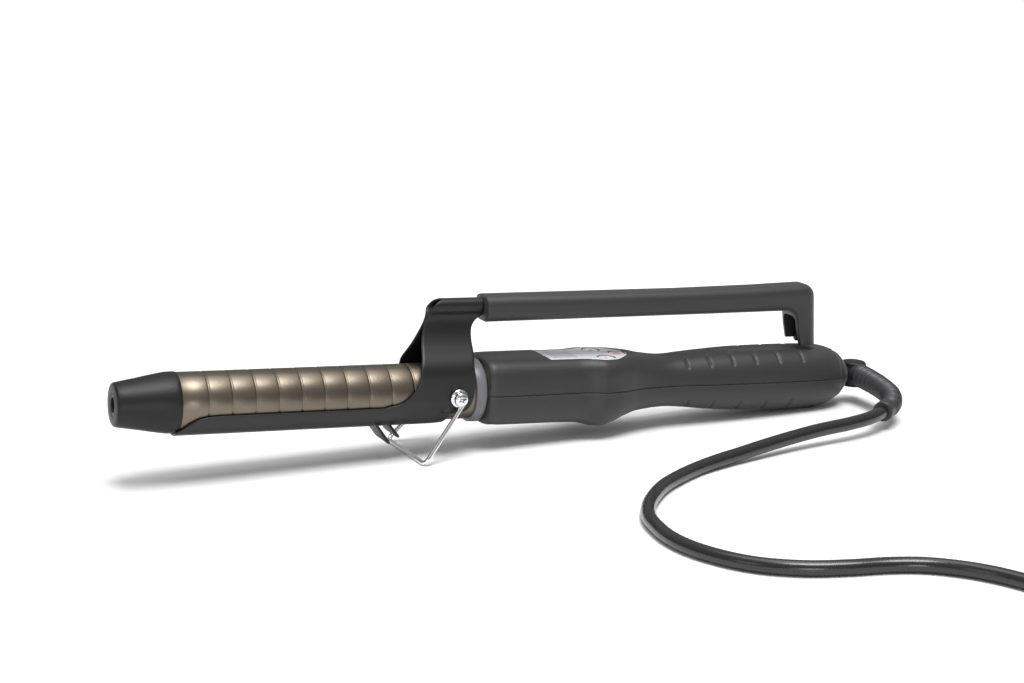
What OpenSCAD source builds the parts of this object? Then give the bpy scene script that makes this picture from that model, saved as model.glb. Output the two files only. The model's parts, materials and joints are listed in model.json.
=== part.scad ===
// Marcel-style curling iron: a heated barrel on a handle, and a spring-free
// lever that carries the clamp shell under the barrel and a grip above the
// handle. Millimetres, +Z up, the table is z = 0.
//
// The iron is drawn level: x runs along the barrel axis from the clamp pivot
// towards the tail, y is across and z is up. on_axis() then sets it down
// tilted on its wire stand and tail. The lead is drawn by on_table(), in the
// same x and y, with z measured from the table.

/* [Barrel] */
// Outer diameter of the heated barrel
barrel_d = 25; // [19:0.5:38]
// Wall of the barrel tube
barrel_wall = 1.2; // [0.8:0.1:2]
// Distance from the clamp pivot to the joint between barrel and cool tip
barrel_len = 120.6; // [90:0.1:160]
// Distance from one turned groove to the next
groove_pitch = 10; // [6:0.5:12]
// Width of a turned groove
groove_w = 1.1; // [0.6:0.1:2]
// Depth of a turned groove
groove_depth = 0.3; // [0.1:0.05:0.5]
// Length of the plastic cool tip
tip_len = 26; // [15:1:35]
// Radius of the hole in the front of the cool tip
tip_bore_r = 3.1; // [2:0.1:4]

/* [Clamp] */
// Thickness of the pressed sheet
sheet = 1.07; // [0.8:0.01:1.5]
// Gap between the barrel and the sheet around it
clamp_gap = 0.3; // [0.2:0.05:1]
// Length of the clamp shell from the pivot to its tongue
shell_len = 122; // [80:1:124]
// Radius of the rolled bead along the top of the bracket
bead_r = 3.6; // [3:0.1:5]
// Height of the bead's centre over the barrel axis
bead_z = 37.3; // [34:0.1:40]

/* [Lever] */
// Width of the lever grip
grip_w = 14.4; // [12:0.2:18]
// Wall of the lever grip
grip_wall = 2; // [1.5:0.1:3]
// Distance from the pivot to the rear face of the lever grip
grip_end = 184; // [170:1:190]

/* [Handle] */
// Wall of the handle shells
handle_wall = 2; // [1.5:0.1:3]
// Height of the joint between the shells over the barrel axis
split_z = 0.2; // [-1:0.1:1]
// Diameter of the three buttons
button_d = 7.4; // [6:0.1:7.6]
// Travel of a button
button_travel = 0.5; // [0.3:0.1:0.6]

/* [Stand] */
// Diameter of the stand wire
wire_d = 2; // [1.5:0.1:2]
// Distance between the two feet, centre to centre
foot_gap = 44.3; // [36:0.1:50]
// Height of the barrel axis over the table, at the pivot
pivot_height = 26.3; // [26:0.1:27]
// Angle of the barrel, tip up
tilt = 3.65; // [3.6:0.01:3.7]

/* [Lead] */
// Diameter of the mains lead
cord_d = 6; // [5:0.5:7]
// Mean radius of the coil that holds the rest of the lead
coil_r = 36; // [34:1:36]
// Turns of the coil side by side
coil_across = 5; // [4:1:5]
// Layers of the coil
coil_layers = 2; // [2:1:3]

/* [Hidden] */
$fn = 48;
barrel_r = barrel_d / 2;
bore_r = barrel_r - barrel_wall;
shell_in_r = barrel_r + clamp_gap;
shell_out_r = shell_in_r + sheet;
wire_r = wire_d / 2;
cord_r = cord_d / 2;
screw_r = 2;
fit_gap = 0.05;
eye_y = shell_out_r + 0.3 + wire_r;
head_y = eye_y + wire_r + 0.6;
collar_x = 8.6;
bezel_z = 14.2;
pocket_z = 13;
board_z = 4;
coil_x = 182;
coil_y = -287;
coil_w = coil_across * cord_d;
coil_h = coil_layers * cord_d;
plug_x = coil_x + 48;
plug_y = -252;
knuckle_x = 209.2;
knuckle_r = 6;
// The origin is half way between the tip's front and the knuckle's rear.
tip_front = (barrel_len + tip_len) * cos(tilt) + 8.7 * sin(tilt);
mid_x = (knuckle_x * cos(tilt) + knuckle_r - tip_front) / 2;

// Front of the handle, a rounded box: x, half width, top, bottom.
FRONT = [
    [14, 14.6, 14.8, 13.8], [15.4, 15.7, 15.7, 15.2], [60, 15.9, 15.6, 15.7],
    [68, 17.3, 15.5, 16.5], [75, 18.2, 15.5, 17.1], [82, 17.0, 15.4, 15.2],
    [89, 14.6, 14.6, 13.1], [97, 12.6, 13.0, 11.6],
];
// Rear of the handle, a turned grip: x, radius.
REAR = [
    [91, 12.6], [98, 12.2], [105, 11.9], [116, 12.6], [127, 13.7], [138, 14.3], [150, 14.8],
    [165, 15], [180, 14.8], [190, 14.1], [196, 12.8], [200, 10.2], [203, 6.4],
];

// Centre line of the strain relief, then of the lead on the table.
RELIEF_ROUTE = [
    [209, -6, 13], [209, -15, 12.4], [208.5, -25, 11.4],
    [206.5, -35, 10.3], [200.5, -44.5, 9.2], [191, -52, 8.5],
];
CORD_ROUTE = [
    [191, -52, 8.5], [181, -57, 8], [168, -60, 7.5], [152, -62, 7],
    [136, -64.5, 6], [120, -68, 5], [106, -71.5, 4], [94, -75, 3.5],
    [82, -79.5, 3], [69, -87, 3], [56, -96.5, 3], [45, -108, 3],
    [37, -119, 3], [31, -131, 3], [28, -143, 3], [26.5, -155, 3],
    [27, -166, 3], [30, -178, 3], [36, -190.5, 3], [44, -200, 3],
    [56, -208, 3], [70, -213, 3], [84, -216.5, 3], [96, -222, 3],
    [106, -231, 3], [113, -241, 3], [118, -252, 3], [122, -263, 3],
    [127, -277, 3], [132, -290, 3],
];
PLUG_LEAD_ROUTE = [[230, -272, 9], [230, -262, 8.5], [230, -252, 6.85]];

function unit(v) = v / norm(v);
function along(path, i) = unit(path[min(i + 1, len(path) - 1)] - path[max(i - 1, 0)]);
function ring(path, i, r, sides) =
    let (t = along(path, i), side = unit(cross(t, [0, 0, 1])), up = cross(side, t))
    [for (k = [0 : sides - 1])
        path[i] + r * (cos(360 * k / sides) * side + sin(360 * k / sides) * up)];
function squircle(half_w, top, bottom, n) =
    [for (a = [0 : 15 : 345]) let (c = cos(a), s = sin(a))
        [half_w * sign(c) * pow(abs(c), 2 / n),
            (s > 0 ? top : bottom) * sign(s) * pow(abs(s), 2 / n)]];
function walls(rings, sides) =
    [for (i = [0 : rings - 2], k = [0 : sides - 1])
        [i * sides + k, i * sides + (k + 1) % sides,
            (i + 1) * sides + (k + 1) % sides, (i + 1) * sides + k]];
function first_cap(sides) = [for (k = [sides - 1 : -1 : 0]) k];
function last_cap(rings, sides) = [for (k = [0 : sides - 1]) (rings - 1) * sides + k];

// A lead or relief: a tube whose radius goes from r1 to r2 along its route.
module sweep(path, r1, r2, sides) {
    rings = len(path);
    points = [for (i = [0 : rings - 1])
        each ring(path, i, r1 + (r2 - r1) * i / (rings - 1), sides)];
    polyhedron(points, concat([first_cap(sides)], walls(rings, sides), [last_cap(rings, sides)]));
}

// Lays the lead out on the table.
module on_table() {
    translate([-mid_x, 0, 0]) children();
}

// Sets the iron down on its stand and its tail.
module on_axis() {
    translate([-mid_x, 0, pivot_height]) rotate([0, tilt, 0]) children();
}

// A round bar along x.
module bar_x(x, length, r) {
    translate([x, 0, 0]) rotate([0, 90, 0]) cylinder(h = length, r = r);
}

// A round bar across the iron, from y on.
module bar_y(x, y, z, length, r) {
    translate([x, y, z]) rotate([-90, 0, 0]) cylinder(h = length, r = r);
}

// A body of revolution about the barrel axis: outline of [radius, x].
module turned(outline) {
    rotate([0, 90, 0]) rotate_extrude($fn = 72) polygon(outline);
}

// A plate seen from the side, across y.
module side_plate(outline, y, thick) {
    translate([0, y + thick, 0]) rotate([90, 0, 0]) linear_extrude(height = thick) polygon(outline);
}

// A bar with the given cross-section of [y, z], along x.
module section_bar(outline, x, length) {
    translate([x, 0, 0]) rotate([90, 0, 90]) linear_extrude(height = length) polygon(outline);
}

function both_sides(half) =
    concat(half, [for (i = [len(half) - 1 : -1 : 0]) [-half[i][0], half[i][1]]]);

module barrel_tube() {
    color("rosybrown") on_axis() difference() {
        bar_x(-barrel_len, barrel_len + 26, barrel_r);
        bar_x(-barrel_len - 1, barrel_len + 28, bore_r);
        for (k = [0 : 9])
            turned([
                [barrel_r - groove_depth, -109.3 + k * groove_pitch - groove_w / 2],
                [barrel_r + 1, -109.3 + k * groove_pitch - groove_w / 2],
                [barrel_r + 1, -109.3 + k * groove_pitch + groove_w / 2],
                [barrel_r - groove_depth, -109.3 + k * groove_pitch + groove_w / 2],
            ]);
        bar_y(0, -20, 0, 40, screw_r + fit_gap);
    }
}

module cool_tip() {
    color("dimgray") on_axis() difference() {
        turned([
            [0, -barrel_len + 9], [bore_r - 0.05, -barrel_len + 9], [bore_r - 0.05, -barrel_len],
            [12.8, -barrel_len], [12.75, -barrel_len - 4], [12.35, -barrel_len - 7],
            [11.7, -barrel_len - 11], [10.6, -barrel_len - 17], [9.6, -barrel_len - 23],
            [9.2, -barrel_len - 25.2], [8.7, -barrel_len - tip_len], [0, -barrel_len - tip_len],
        ]);
        bar_x(-barrel_len - tip_len - 1, 23, tip_bore_r);
    }
}

module heater_core() {
    color("ivory") on_axis() bar_x(-104, 90, 5);
}

module heater_sleeve() {
    color("silver") on_axis() difference() {
        bar_x(-104, 90, bore_r);
        bar_x(-105, 92, 5);
        translate([-105, -0.6, -bore_r - 1]) cube([92, 1.2, 2 * bore_r + 2]);
        translate([-30, 8, 0]) bar_x(0, 20, 1.3);
    }
}

module temperature_sensor() {
    color("gold") on_axis() translate([-30, 8, 0]) bar_x(0, 14, 1.3);
}

module pivot_bush() {
    color("silver") on_axis() difference() {
        bar_y(0, -10.4, 0, 20.8, 4);
        bar_y(0, -11, 0, 22, screw_r);
    }
}

module pivot_screw() {
    bar_y(0, 4, 0, head_y - 3.9, screw_r);
    difference() {
        bar_y(0, head_y, 0, 2.2, 3.3);
        for (a = [0, 90])
            translate([0, head_y + 1.2, 0]) rotate([0, a + 20, 0])
                translate([-1.8, 0, -0.4]) cube([3.6, 2, 0.8]);
    }
}

module pivot_screw_near() {
    color("gainsboro") on_axis() mirror([0, 1, 0]) pivot_screw();
}

module pivot_screw_far() {
    color("gainsboro") on_axis() pivot_screw();
}

module pivot_washers() {
    color("silver") on_axis() for (side = [0, 1]) mirror([0, side, 0]) difference() {
        bar_y(0, head_y - 0.3, 0, 0.3, 3.6);
        bar_y(0, head_y - 1, 0, 2, screw_r);
    }
}

module front_collar() {
    color("gray") on_axis() turned([
        [barrel_r, collar_x], [14.6, collar_x], [15, collar_x + 0.4],
        [15, 13.3], [barrel_r, 13.3],
    ]);
}

// Half of the bracket's outline across the iron, outside and inside.
BRACKET_OUT = [
    [shell_out_r, -7], [shell_out_r, 10], [13.7, 11.6], [13, 13], [11.7, 14.4], [10, 16],
    [8.4, 18], [6.9, 20], [5.4, 22], [4, 24], [2.9, 26], [2, 28], [1.5, 30], [sheet + 0.05, 32],
    [sheet + 0.05, 36],
];
BRACKET_IN = [
    [shell_in_r, -8], [shell_in_r, 10], [12.4, 12], [11.2, 13.5], [9.3, 15.2], [7.6, 17.2],
    [6.1, 19.2], [4.6, 21.2], [3.1, 23.4], [1.9, 25.6], [0.9, 27.6], [0.05, 29.5],
];
// The bracket from the side, from the shell's edge up the front and down the back.
BRACKET_SIDE = [
    [-33, -6], [-32.4, -4], [-26, -2.3], [-21.5, 1], [-18.5, 5], [-17, 10], [-16.8, 12],
    [-15.6, 16], [-14.6, 20], [-13.7, 24], [-12.5, 28], [-11.2, 32], [-9.8, 36], [-8.4, 38],
    [-6.4, 40], [-3, 41], [14.5, 41], [14.5, 33.6], [12.7, 32.6], [10.6, 30.6], [9.2, 28],
    [8.8, 24], [8.8, 18], [7.9, 13], [7.9, 4], [7.2, -1], [5.2, -4.6], [1.8, -6.6], [-2, -7],
];
SHELL_SIDE = [
    [-shell_len, -20], [-shell_len, -12], [-120.5, -10.4], [-118, -7.8], [-113.6, -5],
    [-107, -4], [-26, -4], [-2, -6.8], [-4, -12.2], [-7.3, -13], [-7.3, -20],
];

module clamp_plate() {
    color("darkslategray") on_axis() difference() {
        union() {
            intersection() {
                difference() {
                    bar_x(-130, 140, shell_out_r);
                    bar_x(-131, 142, shell_in_r);
                }
                side_plate(SHELL_SIDE, -20, 40);
            }
            intersection() {
                union() {
                    difference() {
                        section_bar(both_sides(BRACKET_OUT), -40, 60);
                        section_bar(both_sides(BRACKET_IN), -41, 62);
                    }
                    translate([0, 0, bead_z]) bar_x(-20, 40, bead_r);
                }
                side_plate(BRACKET_SIDE, -20, 40);
            }
        }
        translate([0, 0, bead_z]) bar_x(-30, 60, bead_r - sheet);
        bar_y(0, -20, 0, 40, screw_r + fit_gap);
    }
}

module lever_arm() {
    color("gray") on_axis() union() {
        translate([0, 0, bead_z]) bar_x(2, 16, bead_r - sheet);
        translate([17, -grip_w / 2 + grip_wall, bead_z - 1.2])
            cube([152, grip_w - 2 * grip_wall, 2.6]);
    }
}

module lever_grip() {
    color("dimgray") on_axis() difference() {
        side_plate([
            [14.6, 30.4], [14.6, 41.4], [15.6, 42.2], [60, 42.3], [110, 42.9], [150, 43.8],
            [176, 44.5], [181, 43.6], [183.4, 41.4], [grip_end, 38], [grip_end, 30], [182.6, 22],
            [181.5, 15.5], [173.7, 15.5], [171.6, 24], [169.4, 29.6], [165, 32.4], [130, 31.9],
            [60, 31.4],
        ], -grip_w / 2, grip_w);
        side_plate([
            [17, 28], [17, bead_z + 1.4], [171, bead_z + 1.4], [178, 37], [181, 32],
            [179.5, 14], [160, 14],
        ], -grip_w / 2 + grip_wall, grip_w - 2 * grip_wall);
        translate([0, 0, bead_z]) bar_x(10, 10, bead_r - sheet);
    }
}

// Two lips under the shell that hold the wire when the stand is folded.
module stand_clip() {
    color("dimgray") on_axis() difference() {
        union() {
            side_plate([[-34.6, -12.6], [-33.4, -12.6], [-26.3, -21.9], [-27.1, -22.7]], -8, 16);
            side_plate([[-28.9, -12.6], [-27.5, -12.6], [-23.5, -17.7], [-24.3, -18.3]], -8, 16);
        }
        bar_x(-50, 60, shell_out_r);
    }
}

function foot(side) = [-17.25, side * foot_gap / 2, -26.42];

// A straight piece of the stand wire between two points.
module wire(from, to) {
    run = to - from;
    translate(from) rotate([0, acos(run[2] / norm(run)), atan2(run[1], run[0])])
        cylinder(h = norm(run), r = wire_r);
}

module stand_wire() {
    color("gainsboro") on_axis() difference() {
        union() {
            for (side = [-1, 1]) {
                wire([-1.75, side * eye_y, -2.7], foot(side));
                translate(foot(side)) sphere(r = wire_r + 0.03, $fn = 24);
                bar_y(0, side * eye_y - wire_r, 0, 2 * wire_r, screw_r + 1.6);
            }
            wire(foot(-1), foot(1));
        }
        bar_y(0, -20, 0, 40, screw_r + fit_gap);
    }
}

// An outline that runs out along one side of the stations and back along the other.
function there_and_back(rows, up, down, inset) = concat(
    [for (r = rows) [r[0], r[up] - inset]],
    [for (i = [len(rows) - 1 : -1 : 0]) [rows[i][0], inset - rows[i][down]]]);

// The handle's outer form, drawn in by the given amount.
module handle_form(inset) {
    front_end = FRONT[0][0] + inset;
    intersection() {
        union() {
            section_bar(squircle(15.7 - inset, 15.7 - inset, 15.4 - inset, 3.8), front_end, 90);
            section_bar(squircle(18.2 - inset, 15.6 - inset, 17.1 - inset, 4.4), 60, 32);
        }
        side_plate(there_and_back(FRONT, 2, 3, inset), -30, 60);
        translate([0, 0, -30]) linear_extrude(height = 60) polygon(there_and_back(FRONT, 1, 1, inset));
        translate([front_end, -30, -30]) cube([82.9 - inset, 60, 60]);
    }
    turned(concat([[0, REAR[0][0]]], [for (r = REAR) [r[1] - inset, r[0] - inset * (r[0] > 190 ? 1 : 0)]],
        [[0, 203 - inset]]));
}

module handle_shell() {
    difference() {
        handle_form(0);
        handle_form(handle_wall);
        bar_x(10, 10, barrel_r);
        bar_x(190, 20, 5.2);
    }
}

BOSSES = [[98, -5.5], [98, 5.5], [182, -6], [182, 6]];

// Seen from above: the outline of the silver panel.
PANEL = [
    [44, -8], [46, -9.6], [62, -10.4], [68, -12.4], [72, -13.8], [76, -13.2], [81, -9],
    [85, -4.6], [87, 0], [85, 4.6], [81, 9], [76, 13.2], [72, 13.8], [68, 12.4], [62, 10.4],
    [46, 9.6], [44, 8],
];
BUTTONS = [[73, -8], [73, 8], [82.2, 0]];

module handle_upper() {
    color("dimgray") on_axis() difference() {
        union() {
            intersection() {
                handle_shell();
                translate([0, -30, split_z]) cube([220, 60, 40]);
            }
            for (b = BOSSES) translate([b[0], b[1], split_z]) cylinder(h = 10, r = 3);
        }
        translate([0, 0, pocket_z]) linear_extrude(height = 10) polygon(PANEL);
        translate([47, -7.5, 9]) cube([14, 15, 10]);
        for (b = BUTTONS) translate([b[0], b[1], 9]) cylinder(h = 10, r = button_d / 2 + 0.4);
        for (b = BOSSES) translate([b[0], b[1], split_z - 1]) cylinder(h = 8, r = 1.2);
    }
}

module handle_lower() {
    color("dimgray") on_axis() difference() {
        union() {
            intersection() {
                handle_shell();
                translate([0, -30, split_z - 40]) cube([220, 60, 40]);
            }
            for (b = BOSSES) translate([b[0], b[1], split_z - 9]) cylinder(h = 9, r = 3.4);
        }
        for (b = BOSSES) {
            translate([b[0], b[1], split_z - 31]) cylinder(h = 32, r = 1.2);
            translate([b[0], b[1], split_z - 31]) cylinder(h = 24, r = 2.4);
        }
    }
}

module handle_screws() {
    color("silver") on_axis() for (b = BOSSES) {
        translate([b[0], b[1], split_z - 7]) cylinder(h = 12, r = 1.2);
        translate([b[0], b[1], split_z - 8.6]) cylinder(h = 1.6, r = 2.3);
    }
}

module panel_bezel() {
    color("silver") on_axis() difference() {
        translate([0, 0, pocket_z]) linear_extrude(height = bezel_z - pocket_z) polygon(PANEL);
        translate([48, -6.5, pocket_z - 1]) cube([12, 13, 4]);
        for (b = BUTTONS)
            translate([b[0], b[1], pocket_z - 1]) cylinder(h = 4, r = button_d / 2 + 0.3);
    }
}

module lcd_window() {
    color("slategray", 0.6) on_axis() translate([48, -6.5, pocket_z])
        cube([12, 13, bezel_z - pocket_z - 0.1]);
}

module lcd_module() {
    color("darkslategray") on_axis() translate([48.5, -6, board_z + 1.6])
        cube([11, 12, pocket_z - board_z - 1.6]);
}

module circuit_board() {
    color("seagreen") on_axis() translate([36, -9.5, board_z]) cube([52, 19, 1.6]);
}

module button_pad() {
    color("whitesmoke") on_axis() {
        translate([64, -9.5, board_z + 1.6]) cube([22, 19, 1]);
        for (b = BUTTONS) translate([b[0], b[1], board_z + 2.6])
            cylinder(h = pocket_z - 1 - button_travel - board_z - 2.6, r = 2.2);
    }
}

module button(place) {
    translate([place[0], place[1], pocket_z - 0.6]) cylinder(h = 1.5, r = button_d / 2);
}

module button_power() {
    color("mistyrose") on_axis() button(BUTTONS[2]);
}

module button_plus() {
    color("mistyrose") on_axis() button(BUTTONS[1]);
}

module button_minus() {
    color("mistyrose") on_axis() button(BUTTONS[0]);
}

module inner_leads() {
    color("firebrick") on_axis() for (side = [-1, 1])
        translate([0, side * 1.5, board_z + 0.8]) bar_x(88, 104, 0.75);
}

module cable_clamp() {
    color("dimgray") on_axis() translate([192, -5, -3]) cube([5, 10, 9.5]);
}

module swivel_knuckle() {
    color("dimgray") on_axis() union() {
        bar_x(197, 8, 5.2);
        bar_y(knuckle_x, -knuckle_r, 0, 2 * knuckle_r, knuckle_r);
    }
}

module strain_relief() {
    color("dimgray") on_table() sweep(RELIEF_ROUTE, 5.6, 4.6, 12);
}

module cord_tube() {
    color("black") on_table() sweep(CORD_ROUTE, cord_r, cord_r, 10);
}

module cord_coil() {
    color("black") on_table() translate([coil_x, coil_y, 0]) rotate_extrude($fn = 64)
        translate([coil_r - coil_w / 2, 0]) square([coil_w, coil_h]);
}

module plug_lead() {
    color("black") on_table() sweep(PLUG_LEAD_ROUTE, cord_r, cord_r, 10);
}

module plug_body() {
    color("black") on_table() union() {
        translate([plug_x, plug_y, 6.85]) rotate([-90, 0, 0]) cylinder(h = 12, r = 4.6);
        translate([plug_x - 17.6, plug_y + 12, 0]) cube([35.2, 22, 13.7]);
    }
}

module plug_pins() {
    color("gainsboro") on_table() for (side = [-1, 1])
        translate([plug_x + side * 9.5, plug_y + 34, 6.85]) rotate([-90, 0, 0]) cylinder(h = 19, r = 2);
}

barrel_tube();
cool_tip();
heater_core();
heater_sleeve();
temperature_sensor();
pivot_bush();
pivot_screw_near();
pivot_screw_far();
pivot_washers();
front_collar();
clamp_plate();
lever_arm();
lever_grip();
stand_clip();
stand_wire();
handle_upper();
handle_lower();
handle_screws();
panel_bezel();
lcd_window();
lcd_module();
circuit_board();
button_pad();
button_power();
button_plus();
button_minus();
inner_leads();
cable_clamp();
swivel_knuckle();
strain_relief();
cord_tube();
cord_coil();
plug_lead();
plug_body();
plug_pins();
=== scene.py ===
"""Looks of the curling iron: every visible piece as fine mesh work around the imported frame.

The iron's own pieces are drawn level, in millimetres, with x along the barrel from the
clamp pivot to the tail, y across and z up. ON_AXIS then lays them into the frame.
The lead is drawn in the same x and y with z from the table. ON_TABLE lays it out.
"""

import json
import math

import bmesh
import bpy
import numpy as np
from mathutils import Matrix, Vector


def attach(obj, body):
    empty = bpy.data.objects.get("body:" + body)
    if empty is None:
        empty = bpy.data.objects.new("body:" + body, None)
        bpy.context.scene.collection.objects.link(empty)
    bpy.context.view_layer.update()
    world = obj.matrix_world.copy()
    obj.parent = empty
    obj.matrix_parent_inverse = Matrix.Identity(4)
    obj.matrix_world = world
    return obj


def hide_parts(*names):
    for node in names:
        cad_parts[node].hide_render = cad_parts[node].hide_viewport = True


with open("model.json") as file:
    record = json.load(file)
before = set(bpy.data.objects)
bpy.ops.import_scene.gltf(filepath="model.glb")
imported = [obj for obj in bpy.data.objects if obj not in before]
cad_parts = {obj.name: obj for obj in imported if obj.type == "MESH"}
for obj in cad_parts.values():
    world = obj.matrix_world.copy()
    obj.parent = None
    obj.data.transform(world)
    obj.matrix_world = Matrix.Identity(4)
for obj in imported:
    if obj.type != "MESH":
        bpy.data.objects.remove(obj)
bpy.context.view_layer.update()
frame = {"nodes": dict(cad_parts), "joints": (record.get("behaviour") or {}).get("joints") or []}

# ---------------------------------------------------------------- frame and camera
JOINTS = {j["name"]: j for j in frame["joints"]}
PIVOT = Vector(JOINTS["clamp_hinge"]["pos_m"])
PRESS = Vector(JOINTS["power_press"]["axis"])
TILT = math.atan2(-PRESS.x, -PRESS.z)
MM = Matrix.Scale(0.001, 4)
ON_AXIS = Matrix.Translation(PIVOT) @ Matrix.Rotation(TILT, 4, "Y") @ MM
ON_TABLE = Matrix.Translation((PIVOT.x, 0, 0)) @ MM

# The camera stands low and in front of the tip, looking along the iron towards its tail.
CAMERA_FROM_PIVOT = (-0.3393, -0.8267, 0.2291)
CAMERA_YAW = math.radians(24.155)
CAMERA_PITCH = math.radians(13.064)
LENS = 74.62


def add_camera():
    data = bpy.data.cameras.new("camera")
    data.lens = LENS
    data.sensor_width = 36
    data.clip_start, data.clip_end = 0.02, 30
    cam = bpy.data.objects.new("camera", data)
    cam.location = PIVOT + Vector(CAMERA_FROM_PIVOT)
    cam.rotation_euler = (math.pi / 2 - CAMERA_PITCH, 0, -CAMERA_YAW)
    bpy.context.scene.collection.objects.link(cam)
    bpy.context.scene.camera = cam


# ---------------------------------------------------------------- materials
def material(name, colour, rough, metal=0.0, grain=900.0, bump=0.05, stretch=(1, 1, 1),
             vary=0.06, rough_vary=0.05, coat=0.0, sheen=0.0, spec=0.5):
    """A procedural finish: grain in the surface, slight changes of tone and of gloss."""
    mat = bpy.data.materials.new(name)
    mat.use_nodes = True
    nodes, links = mat.node_tree.nodes, mat.node_tree.links
    shader = nodes["Principled BSDF"]
    shader.inputs["Metallic"].default_value = metal
    shader.inputs["Specular IOR Level"].default_value = spec
    shader.inputs["Coat Weight"].default_value = coat
    shader.inputs["Coat Roughness"].default_value = 0.12
    shader.inputs["Sheen Weight"].default_value = sheen
    shader.inputs["Sheen Roughness"].default_value = 0.5
    place = nodes.new("ShaderNodeTexCoord")
    fit = nodes.new("ShaderNodeMapping")
    fit.inputs["Scale"].default_value = stretch
    links.new(place.outputs["Object"], fit.inputs["Vector"])
    fine = nodes.new("ShaderNodeTexNoise")
    fine.inputs["Scale"].default_value = grain
    fine.inputs["Detail"].default_value = 4
    links.new(fit.outputs["Vector"], fine.inputs["Vector"])
    broad = nodes.new("ShaderNodeTexNoise")
    broad.inputs["Scale"].default_value = 40
    broad.inputs["Detail"].default_value = 3
    links.new(place.outputs["Object"], broad.inputs["Vector"])
    tone = nodes.new("ShaderNodeValToRGB")
    tone.color_ramp.elements[0].position, tone.color_ramp.elements[1].position = 0.3, 0.7
    tone.color_ramp.elements[0].color = (*[c * (1 - vary) for c in colour], 1)
    tone.color_ramp.elements[1].color = (*[min(1, c * (1 + vary)) for c in colour], 1)
    links.new(broad.outputs["Fac"], tone.inputs["Fac"])
    links.new(tone.outputs["Color"], shader.inputs["Base Color"])
    gloss = nodes.new("ShaderNodeMapRange")
    gloss.inputs["From Min"].default_value, gloss.inputs["From Max"].default_value = 0.3, 0.7
    gloss.inputs["To Min"].default_value = max(0.02, rough - rough_vary)
    gloss.inputs["To Max"].default_value = rough + rough_vary
    links.new(fine.outputs["Fac"], gloss.inputs["Value"])
    links.new(gloss.outputs["Result"], shader.inputs["Roughness"])
    relief = nodes.new("ShaderNodeBump")
    relief.inputs["Strength"].default_value = bump
    relief.inputs["Distance"].default_value = 0.0002
    links.new(fine.outputs["Fac"], relief.inputs["Height"])
    links.new(relief.outputs["Normal"], shader.inputs["Normal"])
    return mat


FINISH = {
    "barrel_metal": material("barrel_metal", (0.17, 0.143, 0.112), 0.36, 1.0, 1.0, 0.12,
                             (9000, 120, 120), 0.05, 0.06),
    "tip_plastic": material("tip_plastic", (0.008, 0.008, 0.0085), 0.44, bump=0.12, grain=1800, spec=0.3),
    "ceramic": material("ceramic", (0.85, 0.83, 0.78), 0.6, bump=0.3),
    "aluminium": material("aluminium", (0.7, 0.7, 0.71), 0.35, 1.0, 1.0, 0.1, (100, 4000, 4000)),
    "brass": material("brass", (0.75, 0.58, 0.28), 0.3, 1.0, 2000),
    "steel": material("steel", (0.55, 0.55, 0.56), 0.3, 1.0, 1.0, 0.1, (150, 3000, 3000)),
    "chrome": material("chrome", (0.82, 0.82, 0.84), 0.1, 1.0, 1500, 0.02, rough_vary=0.03),
    "collar_plastic": material("collar_plastic", (0.14, 0.14, 0.15), 0.4, bump=0.1, grain=1500),
    "clamp_paint": material("clamp_paint", (0.009, 0.009, 0.0095), 0.4, bump=0.1, grain=2200,
                            spec=0.4),
    "soft_plastic": material("soft_plastic", (0.02, 0.02, 0.0213), 0.48, bump=0.22, grain=3000,
                             sheen=0.1, spec=0.5),
    "bezel_plastic": material("bezel_plastic", (0.84, 0.85, 0.89), 0.3, 0.1, 2500, 0.04,
                              coat=0.3),
    "lens": material("lens", (0.74, 0.78, 0.86), 0.08, bump=0.0, coat=0.6),
    "board": material("board", (0.05, 0.22, 0.1), 0.4, bump=0.1),
    "pad_rubber": material("pad_rubber", (0.78, 0.78, 0.76), 0.6),
    "button_plastic": material("button_plastic", (0.86, 0.8, 0.81), 0.32, bump=0.05, grain=2500),
    "button_mark": material("button_mark", (0.66, 0.3, 0.3), 0.4, bump=0.05, grain=2500),
    "lead_sleeve": material("lead_sleeve", (0.5, 0.08, 0.06), 0.45),
    "relief_rubber": material("relief_rubber", (0.03, 0.03, 0.033), 0.42, bump=0.15, grain=2000),
    "cord_pvc": material("cord_pvc", (0.009, 0.009, 0.01), 0.26, bump=0.05, grain=1200, coat=0.25),
    "plug_plastic": material("plug_plastic", (0.02, 0.02, 0.022), 0.42, bump=0.15, grain=2400),
    "brass_nickel": material("brass_nickel", (0.78, 0.77, 0.74), 0.18, 1.0, 1800, 0.03),
}


# ---------------------------------------------------------------- mesh building
class Build:
    """Points and faces of one piece, gathered in local millimetres."""

    def __init__(self):
        self.points, self.faces = [], []

    def row(self, points):
        start = len(self.points)
        self.points.extend(tuple(p) for p in points)
        return range(start, len(self.points))

    def join(self, first, second, wrap=True):
        count = len(first)
        for k in range(count if wrap else count - 1):
            self.faces.append((first[k], first[(k + 1) % count],
                               second[(k + 1) % count], second[k]))

    def stack(self, rows, closed=False, ends=True):
        rows = [self.row(r) for r in rows]
        for first, second in zip(rows, rows[1:] + (rows[:1] if closed else [])):
            self.join(first, second)
        if ends and not closed:
            self.faces += [tuple(rows[0]), tuple(rows[-1])]


def smooth_shade(mesh, angle):
    mesh.polygons.foreach_set("use_smooth", [True] * len(mesh.polygons))
    mesh.set_sharp_from_angle(angle=math.radians(angle))


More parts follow.
